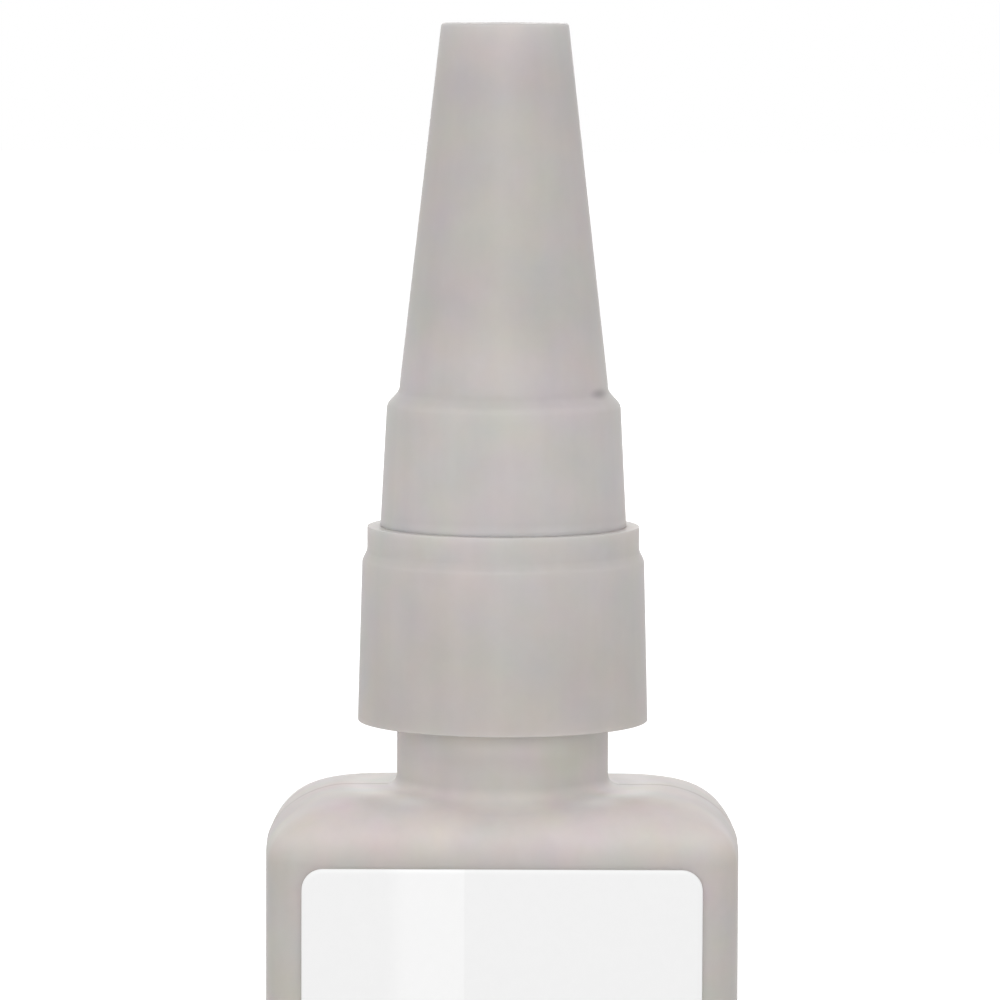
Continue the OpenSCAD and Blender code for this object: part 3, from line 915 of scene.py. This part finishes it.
# %% Tones of the nozzle and the cap
nozzle_plastic, tree, tone = milky_plastic("nozzle_plastic", mottle=0.13, tint=0.12, roughness=0.5)
# Painted light: the collar is lighter towards its lip.
painted_lip_light = height_share(tree, collar_z + 3, lip_z)
tree.links.new(blend_tones(tree, painted_lip_light, ink(192, 187, 183), ink(199, 194, 191)), tone)
nozzle.data.materials.append(nozzle_plastic)

cap_plastic, tree, tone = milky_plastic("cap_plastic", mottle=0.12, tint=0.12, roughness=0.48)
# Painted light: the cone is lighter towards the skirt.
painted_skirt_light = height_share(tree, skirt_z + 7, skirt_z)
skirt_tone = blend_tones(tree, painted_skirt_light, ink(193, 188, 185), ink(200, 195, 193))
# Painted light: the skirt is lighter at its foot, filling the shade where it meets the nozzle's deck.
painted_foot_light = height_share(tree, deck_z + 0.9, deck_z)
skirt_tone = blend_tones(tree, painted_foot_light, skirt_tone, ink(216, 211, 209))
# Painted light: the top of the cap is lighter, as where light comes in through it.
painted_top_light = height_share(tree, cap_z - 4.5, cap_z)
cap_tone = blend_tones(tree, painted_top_light, skirt_tone, ink(200, 195, 194))
# The cone is darker in one small spot at its foot.
dark_spot = spot_share(tree, centre=(6.55, -3.0, skirt_z), reach=(1.1, 2.4, 0.55))
tree.links.new(blend_tones(tree, dark_spot, cap_tone, ink(164, 159, 160)), tone)
cap.data.materials.append(cap_plastic)
print("milky plastics:", bottle_plastic.name, nozzle_plastic.name, cap_plastic.name)

# %% [markdown]
# ## Label film
# The film is bright white, a shade glossier than the bottle, with the faint waviness of a sheet pressed on
# by a roller. A broad varnished stripe near its left side is a little glossier, and a hair whiter as a
# painted highlight, soft on one edge and crisp on the other. Its lower end carries two plain grey bands,
# and the back label has plain rules.


# %% Print on the labels
PRINT_SOFT = 0.05


def stripe(tree, axis, low, high, soft_low=PRINT_SOFT, soft_high=PRINT_SOFT):
    """A stripe across one axis, in millimetres: it rises over soft_low, and falls over soft_high."""
    place = add(tree, "ShaderNodeTexCoord")
    parts = add(tree, "ShaderNodeSeparateXYZ")
    tree.links.new(place.outputs["Object"], parts.inputs[0])
    edges = []
    for edge, soft in ((low, soft_low), (high, -soft_high)):
        span = {"From Min": (edge - soft / 2) * MM, "From Max": (edge + soft / 2) * MM}
        ramp = add(tree, "ShaderNodeMapRange", span, interpolation_type="SMOOTHSTEP")
        tree.links.new(parts.outputs[axis], ramp.inputs["Value"])
        edges.append(ramp.outputs["Result"])
    return reckon(tree, "MULTIPLY", *edges)


def label_film(name):
    """White film: cloudy by a hair, with a fine grain and a slight wave, and its varnished stripe, a hair
    whiter as a painted highlight.
    """
    material, tree, shader = new_material(name, Specular_IOR_Level=0.35)
    grain = object_noise(tree, 1800, detail=3)
    wave = object_noise(tree, 90)
    # Painted highlight: the varnished stripe is a hair whiter; it is also a little glossier.
    varnish_and_painted_sheen = stripe(tree, "X", low=-7.3, high=-2.6, soft_low=2.0, soft_high=0.15)
    paper = blend_tones(tree, varnish_and_painted_sheen, ink(245, 245, 245), ink(250, 250, 250))
    shade = reckon(tree, "ADD", reckon(tree, "MULTIPLY", grain, 0.02), 1.0)
    toned = add(tree, "ShaderNodeVectorMath", operation="SCALE")
    tree.links.new(paper, toned.inputs[0])
    tree.links.new(shade, toned.inputs["Scale"])
    rough = reckon(tree, "ADD", reckon(tree, "MULTIPLY", wave, 0.1), 0.36)
    rough = reckon(tree, "SUBTRACT", rough, reckon(tree, "MULTIPLY", varnish_and_painted_sheen, 0.06))
    tree.links.new(rough, shader.inputs["Roughness"])
    height = reckon(tree, "ADD", wave, reckon(tree, "MULTIPLY", grain, 0.1))
    feed_bump(tree, height, shader, 0.03)
    return material, tree, shader, toned.outputs[0]


front_film, tree, shader, paper = label_film("front_label_film")
broad_band = stripe(tree, "Z", low=9.5, high=15.5)
thin_band = stripe(tree, "Z", low=16.4, high=17.0)
printed = blend_tones(tree, broad_band, paper, ink(176, 180, 184))
printed = blend_tones(tree, thin_band, printed, ink(120, 126, 132))
tree.links.new(printed, shader.inputs["Base Color"])
front_label.data.materials.append(front_film)

back_film, tree, shader, printed = label_film("back_label_film")
rule_half_w = 11.5
rule_h = 0.3
inside_margin = stripe(tree, "X", low=-rule_half_w, high=rule_half_w)
for rule_z in (12.0, 18.0, 24.0, 30.0, 36.0, 42.0):
    rule = stripe(tree, "Z", low=rule_z, high=rule_z + rule_h)
    rule = reckon(tree, "MULTIPLY", rule, inside_margin)
    printed = blend_tones(tree, rule, printed, ink(150, 155, 160))
tree.links.new(printed, shader.inputs["Base Color"])
back_label.data.materials.append(back_film)
print("label films:", front_film.name, back_film.name)

# %% [markdown]
# ## Foam, steel and glue
# The small inner pieces show when the nozzle and the cap are off. The gasket is fine closed-cell foam, the
# pin is drawn steel wire with streaks along its length, and the glue is clear with a breath of yellow that
# deepens towards the bottom.

# %% Finish the small pieces
foam, tree, shader = new_material("gasket_foam", Specular_IOR_Level=0.2)
cells = add(tree, "ShaderNodeTexVoronoi", {"Scale": 3800})
place = add(tree, "ShaderNodeTexCoord")
tree.links.new(place.outputs["Object"], cells.inputs["Vector"])
cell = cells.outputs["Distance"]
foam_tone = blend_tones(tree, cell, ink(247, 247, 242), ink(226, 226, 219))
tree.links.new(foam_tone, shader.inputs["Base Color"])
rough = reckon(tree, "ADD", reckon(tree, "MULTIPLY", cell, 0.15), 0.75)
tree.links.new(rough, shader.inputs["Roughness"])
feed_bump(tree, reckon(tree, "MULTIPLY", cell, -1), shader, 0.08)
gasket.data.materials.append(foam)

steel, tree, shader = new_material("pin_steel", Metallic=1.0)
drawn = object_noise(tree, 6000, stretch=(1, 1, 0.03), detail=3)
streak = reckon(tree, "ADD", drawn, 0.5)
steel_tone = blend_tones(tree, streak, ink(188, 190, 194), ink(212, 213, 216))
tree.links.new(steel_tone, shader.inputs["Base Color"])
rough = reckon(tree, "ADD", reckon(tree, "MULTIPLY", drawn, 0.3), 0.3)
tree.links.new(rough, shader.inputs["Roughness"])
feed_bump(tree, drawn, shader, 0.01)
pin.data.materials.append(steel)

liquid, tree, shader = new_material("liquid_glue", IOR=1.45, Transmission_Weight=0.85)
depth = height_share(tree, floor_z, fill_z)
glue_tone = blend_tones(tree, depth, ink(232, 228, 208), ink(245, 246, 240))
tree.links.new(glue_tone, shader.inputs["Base Color"])
swirl = object_noise(tree, 160)
rough = reckon(tree, "ADD", reckon(tree, "MULTIPLY", swirl, 0.05), 0.06)
tree.links.new(rough, shader.inputs["Roughness"])
feed_bump(tree, swirl, shader, 0.05)
glue.data.materials.append(liquid)
print("small finishes:", foam.name, steel.name, liquid.name)

# %% [markdown]
# ## Floor, light and camera
# The picture has a pure white ground and very even light: nothing is darker than a soft grey at the round
# edges. So the world gives most of the light. One wide lamp stands in front, raised and a little to the
# left, and a weaker one low behind the bottle lights the rim of its shoulder. The floor and the world look
# white to the camera, but the floor still takes the bottle's shadow. It lies a hair below the base ring,
# because two faces in one plane would flicker.


# %% Floor and world
def seen_directly(tree):
    """1 for the rays that show a background: camera, mirror and see-through rays."""
    path = add(tree, "ShaderNodeLightPath")
    seen = reckon(tree, "MAXIMUM", path.outputs["Is Camera Ray"], path.outputs["Is Glossy Ray"])
    return reckon(tree, "MAXIMUM", seen, path.outputs["Is Transmission Ray"])


floor_half = 3.0
floor_lift = 0.52
floor_gap = 0.05 * MM
floor_corners = np.array([[-1, -1, 0], [1, -1, 0], [1, 1, 0], [-1, 1, 0]]) * floor_half
floor_corners[:, 2] -= floor_gap
floor_mesh = bpy.data.meshes.new("studio_floor")
floor_mesh.from_pydata(floor_corners.tolist(), [], [[0, 1, 2, 3]])
floor = bpy.data.objects.new("studio_floor", floor_mesh)
bpy.context.scene.collection.objects.link(floor)
floor_paint, tree, shader = new_material("floor_paint", Base_Color=ink(232, 232, 232), Roughness=0.9)
shader.inputs["Specular IOR Level"].default_value = 0.0
lift = reckon(tree, "MULTIPLY", seen_directly(tree), floor_lift)
shader.inputs["Emission Color"].default_value = (1, 1, 1, 1)
tree.links.new(lift, shader.inputs["Emission Strength"])
floor_mesh.materials.append(floor_paint)

world = bpy.data.worlds.new("studio_world")
world.use_nodes = True
bpy.context.scene.world = world
tree = world.node_tree
AMBIENT = 0.69
sky = tree.nodes["Background"]
sky.inputs["Color"].default_value = (1, 1, 1, 1)
level = reckon(tree, "MULTIPLY", seen_directly(tree), 1 - AMBIENT)
tree.links.new(reckon(tree, "ADD", level, AMBIENT), sky.inputs["Strength"])
print("world gives", AMBIENT, "of white")


# %% Lamps
def soft_lamp(name, place, aim, side, power):
    """Square area lamp, in metres, turned from its place towards an aim."""
    data = bpy.data.lights.new(name, "AREA")
    data.size = side
    data.energy = power
    lamp = bpy.data.objects.new(name, data)
    lamp.location = place
    lamp.rotation_euler = (Vector(aim) - Vector(place)).to_track_quat("-Z", "Y").to_euler()
    bpy.context.scene.collection.objects.link(lamp)


soft_lamp("key_lamp", place=(-0.08, -1.2, 0.42), aim=(0, 0, 0.07), side=0.5, power=4.6)
soft_lamp("back_lamp", place=(0.0, 1.1, 0.28), aim=(0, 0, 0.05), side=0.7, power=2.2)
print("lamps:", [lamp.name for lamp in bpy.data.lights])

# %% Camera
sensor_w = 36.0
nearest = 0.01
eye = Vector((-0.24, -433.0, 111.3)) * MM
aim = Vector((-0.24, 0.0, 72.9)) * MM
roll = math.radians(0.2)
picture_w = 70.2 * MM
lens_data = bpy.data.cameras.new("studio_camera")
lens_data.sensor_fit = "HORIZONTAL"
lens_data.sensor_width = sensor_w
lens_data.lens = sensor_w * (aim - eye).length / picture_w
lens_data.clip_start = nearest
camera = bpy.data.objects.new("studio_camera", lens_data)
camera.location = eye
upright = (aim - eye).to_track_quat("-Z", "Y")
camera.rotation_euler = (upright @ Quaternion((0, 0, 1), roll)).to_euler()
bpy.context.scene.collection.objects.link(camera)
bpy.context.scene.camera = camera
bpy.context.scene.view_settings.view_transform = "Standard"
print("lens", round(lens_data.lens, 1), "mm")
